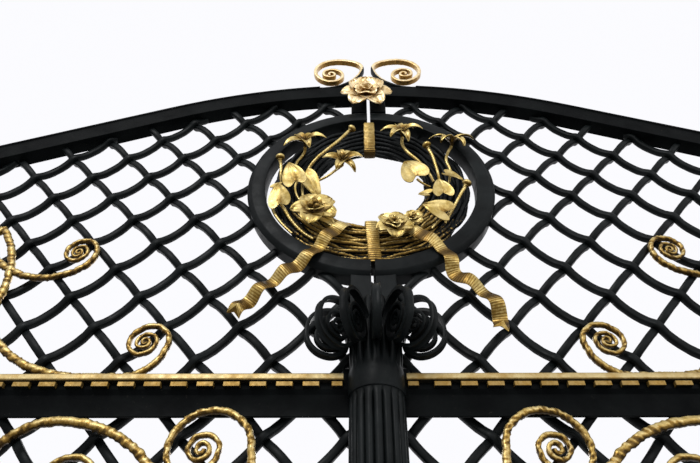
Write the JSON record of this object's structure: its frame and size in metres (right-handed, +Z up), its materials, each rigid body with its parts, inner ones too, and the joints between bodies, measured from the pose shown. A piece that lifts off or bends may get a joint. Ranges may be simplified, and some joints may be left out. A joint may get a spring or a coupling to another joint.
{
  "type": "wrought iron driveway gate",
  "caption": "Arched double-leaf wrought iron driveway gate with crimped lattice, medallion with gilded wreath, reeded column and gilded scrollwork between square posts.",
  "frame": {"origin": "underside of the left post's base plate, at its centre, on the drive", "axes": "+X from the left post to the right post along the closed gate, +Y from the street side to the back, +Z up"},
  "size_m": [4.26, 0.3197, 3.3939],
  "materials": {
    "painted_iron": "satin",
    "gilded_metal": "satin"
  },
  "bodies": {
    "posts": {"left_post": "painted_iron", "right_post": "painted_iron", "left_pintles": "painted_iron", "right_pintles": "painted_iron", "sill": "painted_iron"},
    "left_leaf": {"left_hinge_stile": "painted_iron", "left_meeting_stile": "painted_iron", "left_arch_rail": "painted_iron", "left_mid_rail": "painted_iron", "left_cornice": "gilded_metal", "left_bottom_rail": "painted_iron", "left_ring": "painted_iron", "left_upper_bars": "painted_iron", "left_upper_crimped_bars": "painted_iron", "left_lower_bars": "painted_iron", "left_lower_crimped_bars": "painted_iron", "left_upper_scrolls": "gilded_metal", "left_lower_scrolls": "gilded_metal", "left_finial": "painted_iron", "left_wreath_vines": "painted_iron", "left_wreath_flowers": "gilded_metal", "left_ribbon": "gilded_metal", "left_hinge_eyes": "painted_iron"},
    "right_leaf": {"right_hinge_stile": "painted_iron", "right_meeting_stile": "painted_iron", "right_arch_rail": "painted_iron", "right_mid_rail": "painted_iron", "right_cornice": "gilded_metal", "right_bottom_rail": "painted_iron", "right_ring": "painted_iron", "right_upper_bars": "painted_iron", "right_upper_crimped_bars": "painted_iron", "right_lower_bars": "painted_iron", "right_lower_crimped_bars": "painted_iron", "right_upper_scrolls": "gilded_metal", "right_lower_scrolls": "gilded_metal", "right_finial": "painted_iron", "right_wreath_vines": "painted_iron", "right_wreath_flowers": "gilded_metal", "right_ribbon": "gilded_metal", "right_hinge_eyes": "painted_iron", "column": "painted_iron", "capital": "painted_iron", "wreath_bands": "gilded_metal", "top_flower": "gilded_metal"}
  },
  "joints": [
    {"name": "right_hinge", "type": "hinge", "parent": "posts", "child": "right_leaf", "pos_m": [3.8525, -0.038, 0.26], "axis": [0, 0, 1], "range_deg": [0, 90]},
    {"name": "left_hinge", "type": "hinge", "parent": "posts", "child": "left_leaf", "pos_m": [0.1075, -0.038, 0.26], "axis": [0, 0, -1], "range_deg": [0, 90]}
  ],
  "couplings": [
    {"joint": "left_hinge", "follows": "right_hinge", "ratio": 1}
  ]
}
